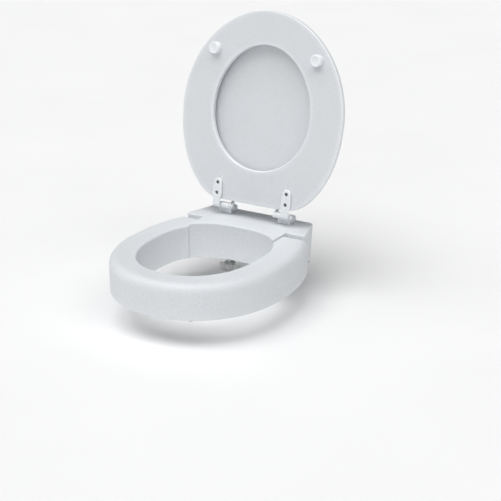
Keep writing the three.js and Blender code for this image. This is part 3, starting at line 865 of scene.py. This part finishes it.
def tongue(x, neck, grow=0.0):
    """A narrow neck at the hinge axis, a wide hip at the first screw and a round tip."""
    neck, hip, tip = neck + grow, STRAP_HIP + grow, STRAP_TIP + grow
    first, second = STRAP_SCREWS
    flank = [Vector((-neck, -4)), Vector((-neck, -8))]
    start, lead, aim, end = (Vector(p) for p in ((-neck, -8), (-neck, -14), (-hip, -15), (-hip, -first)))
    for t in spread(0, 1, 14)[1:]:
        s = 1 - t
        flank.append(start * s**3 + lead * 3 * s * s * t + aim * 3 * s * t * t + end * t**3)
    tip_arc = arc((0, -second), tip, 180, 360, 24)
    other = [Vector((-p.x, p.y)) for p in reversed(flank)]
    return [Vector((p.x + x, p.y)) for p in flank + tip_arc + other]


def strap(arm, low, thick, neck_side):
    """Knuckle, neck and tongue in one piece, with two sunk screw holes."""
    x = (arm[0] + arm[1]) / 2
    half = (arm[1] - arm[0]) / 2
    knuckle = rod(KNUCKLE, *arm, (0, 0), 0.7, place=ALONG_X)
    neck = bar([Vector(point) for point in neck_side], *arm, 0.5)
    form = moulded([knuckle, neck, plate(tongue(x, half), low, low + thick, 1.3)], 0.36)
    deep = low + SCREW_SUNK + SCREW_HIGH
    sunk = [turned(flared(SCREW_HEAD + GAP, low, deep), (x, -u)) for u in STRAP_SCREWS]
    through = [bore(SCREW_SHANK + GAP, deep - 0.5, low + thick + 2, (x, -u)) for u in STRAP_SCREWS]
    eye = bore(AXLE + GAP, arm[0] - 1, arm[1] + 1, (0, 0), place=ALONG_X)
    return carved(carved(form, sunk + [eye]), through)


def screw(x, u, low, reach):
    """A sunk cross-head screw, driven upwards from the underside of its strap."""
    head = low + SCREW_SUNK
    rise = [(SCREW_HEAD - 1.2, 0), (SCREW_HEAD - 0.5, 0.15), (SCREW_HEAD, 0.6)]
    rise.append((SCREW_HEAD, SCREW_HIGH - 0.3))
    profile = [(r, head + z) for r, z in rise]
    profile += [(SCREW_SHANK, head + SCREW_HIGH - 0.2), (SCREW_SHANK, reach - 1.5), (0.3, reach)]
    form = turned(profile, (x, -u), 40)
    wide = brick((x - 2.1, -u - 0.45, head - 1), (x + 2.1, -u + 0.45, head + 0.9))
    tall = brick((x - 0.45, -u - 2.1, head - 1), (x + 0.45, -u + 2.1, head + 0.9))
    return carved(carved(form, [wide]), [tall])


def bumper(centre, radius, height, panel):
    """A soft round buffer: a dished face with a dimple, a rounded rim and a plug into its panel."""
    top, low = panel - GAP, panel - height
    profile = [(0.5, low + 2.0), (1.3, low + 1.7), (1.9, low + 1.25), (radius * 0.5, low + 1.0)]
    profile += [(radius * 0.62, low + 0.5), (radius * 0.7, low)]
    profile += [(radius * 0.86, low + 0.05), (radius * 0.95, low + height * 0.1)]
    profile += [(radius * 0.99, low + height * 0.22), (radius, low + height * 0.4), (radius, top)]
    profile += [(PLUG, top), (PLUG, panel + 5.5), (PLUG - 0.5, panel + 6)]
    return turned(profile, tuple(centre), 64)


def both_sides(make):
    """A cutter and its mirror image."""
    right = make()
    return [mirrored(right), right]


def fixing_holes(x, low, high):
    radius = SCREW_SHANK + GAP
    return [cutter for u in STRAP_SCREWS for cutter in both_sides(lambda: bore(radius, low, high, (x, -u)))]


def make_seat():
    x = sum(SEAT_ARM) / 2
    high = SEAT_UNDER - GAP
    low = high - STRAP_THICK
    plugs = both_sides(lambda: bore(PLUG + GAP, SEAT_UNDER - 1, SEAT_UNDER + 8, tuple(SEAT_BUMPER)))
    holes = fixing_holes(x, SEAT_UNDER - 1, SEAT_UNDER + SCREW_GRIP + 1)
    ring = carved(seat_skin(), plugs + holes)
    ring.transform(SEAT_FRAME)
    piece("seat_ring", ring)
    side = [(6.4, -2), (4.5, -8), (0, low), (-14, low), (-14, high), (-9, high), (-6.4, -2), (-3, 3), (3, 3)]
    pair("seat_strap", strap(SEAT_ARM, low, STRAP_THICK, side), SEAT_FRAME)
    pair("seat_bumper", bumper(SEAT_BUMPER, 12.5, 13, SEAT_UNDER), SEAT_FRAME)
    for which, u in zip(("lower", "upper"), STRAP_SCREWS):
        pair("seat_screw_" + which, screw(x, u, low, SEAT_UNDER + SCREW_GRIP), SEAT_FRAME)


def make_lid():
    x = sum(LID_ARM) / 2
    half = (LID_ARM[1] - LID_ARM[0]) / 2
    low = LID_UNDER + LID_STRAP_SUNK - LID_STRAP_THICK
    high = low + LID_STRAP_THICK
    pockets = both_sides(lambda: plate(tongue(x, half, GAP), LID_UNDER - 3, high + GAP))
    plugs = both_sides(lambda: bore(PLUG + GAP, LID_UNDER - 1, LID_UNDER + 7, tuple(LID_BUMPER)))
    holes = fixing_holes(x, LID_UNDER, LID_UNDER + SCREW_GRIP + 1)
    panel = carved(carved(lid_skin(), pockets + plugs), holes)
    panel.transform(SEAT_FRAME)
    piece("lid_panel", panel)
    side = [(6.4, 2), (4.5, 8), (1, high), (-12, high), (-12, low), (-9, low), (-6.4, 2), (-3, -3), (3, -3)]
    pair("lid_strap", strap(LID_ARM, low, LID_STRAP_THICK, list(reversed(side))), SEAT_FRAME)
    pair("lid_bumper", bumper(LID_BUMPER, 8, 3.2, LID_UNDER), SEAT_FRAME)
    for which, u in zip(("lower", "upper"), STRAP_SCREWS):
        pair("lid_screw_" + which, screw(x, u, low, LID_UNDER + SCREW_GRIP), SEAT_FRAME)


# ---- Floor, light and camera ----
FLOOR = BOLT_LOW.z - 1.5
WALL_GLOW, CEILING_GLOW = 0.23, 0.05  # brightness of the studio's walls and of its ceiling
CEILING = (0.35, 0.65)  # how high up the walls turn into the ceiling, as parts of straight up
SOFT_LIGHTS = {  # direction, watts per square metre, spread in degrees
    "overhead": ((-0.08, -0.38, 1), 2.03, 50),
    "right": ((0.8, -0.15, 1), 0.80, 40),
    "left": ((-0.9, -0.3, 0.8), 0.39, 40),
    "front": ((0.25, -1, 0.45), 0.30, 40),
}


def make_floor():
    bm = plate(soft_polygon([(-9000, -9000), (9000, -9000), (9000, 9000), (-9000, 9000)], 800, 12), -20, 0)
    bm.transform(Matrix.Scale(MM, 4) @ Matrix.Translation((0, 0, FLOOR)))
    mesh = bpy.data.meshes.new("floor")
    bm.to_mesh(mesh)
    bm.free()
    floor = bpy.data.objects.new("floor", mesh)
    bpy.context.scene.collection.objects.link(floor)
    shader = Shader("floor_paper")
    tone = shader.spread(shader.noise(3, 3), 0.3, 0.7)
    colour = shader.blend(tone, (0.93, 0.93, 0.93, 1), (0.95, 0.95, 0.95, 1))
    mesh.materials.append(shader.set(Base_Color=colour, Roughness=0.9))


def make_sky():
    """Soft walls and a dimmer ceiling that light the part, and plain white for the camera to see."""
    world = bpy.data.worlds.new("studio")
    world.use_nodes = True
    tree = world.node_tree

    def add(kind, **inputs):
        node = tree.nodes.new("ShaderNode" + kind)
        for key, value in inputs.items():
            socket = node.inputs[key.replace("_", " ")]
            if isinstance(value, bpy.types.NodeSocket):
                tree.links.new(value, socket)
            else:
                socket.default_value = value
        return node

    up = add("SeparateXYZ", Vector=add("TexCoord").outputs["Generated"]).outputs["Z"]
    low, high = CEILING
    rise = add("MapRange", Value=up, From_Min=low, From_Max=high, To_Min=WALL_GLOW, To_Max=CEILING_GLOW)
    room = add("Background", Color=(0.97, 0.98, 1, 1), Strength=rise.outputs["Result"])
    backdrop = add("Background", Color=(1, 1, 1, 1))
    seen = add("LightPath")
    choice = add("MixShader", Fac=seen.outputs["Is Camera Ray"])
    tree.links.new(room.outputs[0], choice.inputs[1])
    tree.links.new(backdrop.outputs[0], choice.inputs[2])
    tree.links.new(choice.outputs[0], tree.nodes["World Output"].inputs["Surface"])
    bpy.context.scene.world = world


def make_lights():
    for name, (towards, power, spread_degrees) in SOFT_LIGHTS.items():
        data = bpy.data.lights.new(name, "SUN")
        data.energy = power
        data.angle = math.radians(spread_degrees)
        light = bpy.data.objects.new(name, data)
        bpy.context.scene.collection.objects.link(light)
        light.rotation_euler = Vector(towards).to_track_quat("Z", "Y").to_euler()


# The camera stands 3 m away, to the right of the front and a little above the seat.
CAMERA_AZIMUTH = math.radians(31.48)
CAMERA_ELEVATION = math.radians(20.85)
CAMERA_ROLL = math.radians(-0.45)
CAMERA_PLACE = Vector((1446.5, -2392.3, 1065.5))
CAMERA_LENS = 103.07


def make_camera():
    a, e, roll = CAMERA_AZIMUTH, CAMERA_ELEVATION, CAMERA_ROLL
    back = Vector((math.sin(a) * math.cos(e), -math.cos(a) * math.cos(e), math.sin(e)))
    right = Vector((math.cos(a), math.sin(a), 0))
    up = back.cross(right)
    right, up = right * math.cos(roll) + up * math.sin(roll), up * math.cos(roll) - right * math.sin(roll)
    data = bpy.data.cameras.new("camera")
    data.lens = CAMERA_LENS
    data.clip_start = 0.1
    data.clip_end = 50
    camera = bpy.data.objects.new("camera", data)
    bpy.context.scene.collection.objects.link(camera)
    turn = Matrix((right, up, back)).transposed().to_4x4()
    camera.matrix_world = Matrix.Translation(CAMERA_PLACE * MM) @ turn
    bpy.context.scene.camera = camera


make_riser()
make_bolts()
make_posts()
make_seat()
make_lid()
make_floor()
make_sky()
make_lights()
make_camera()
bpy.context.scene.view_settings.view_transform = "Standard"
